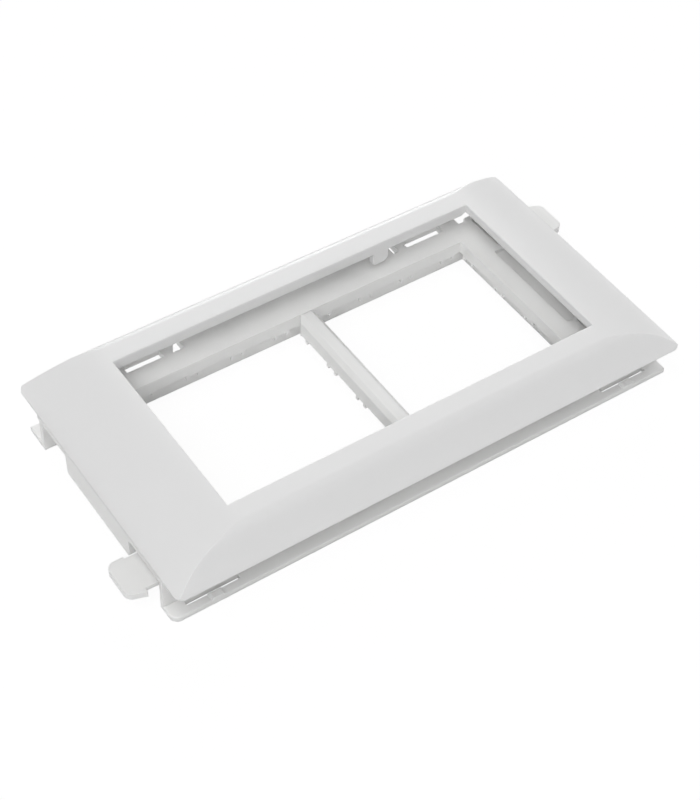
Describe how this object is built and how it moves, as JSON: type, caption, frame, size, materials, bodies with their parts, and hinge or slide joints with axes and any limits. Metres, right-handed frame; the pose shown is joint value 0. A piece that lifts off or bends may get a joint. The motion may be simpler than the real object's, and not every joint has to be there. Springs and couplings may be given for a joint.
{
  "type": "two-module wiring trunking adapter frame",
  "caption": "Bevelled white cover frame clipped over a support frame that holds square 45 mm modules side by side in wiring trunking.",
  "frame": {"origin": "centre of the support frame's underside, midway between its two long shelves", "axes": "+Z out of the wall through the cover's window, X along the trunking, Y across it"},
  "size_m": [0.1378, 0.0662, 0.018],
  "materials": {
    "cover_abs": "satin gloss",
    "support_abs": "satin gloss"
  },
  "bodies": {
    "support": {"support_frame": "support_abs"},
    "cover": {"cover_frame": "cover_abs"}
  },
  "joints": [
    {"name": "cover_lift", "type": "slide", "parent": "support", "child": "cover", "axis": [0, 0, 1], "range_m": [0, 0.02]}
  ]
}
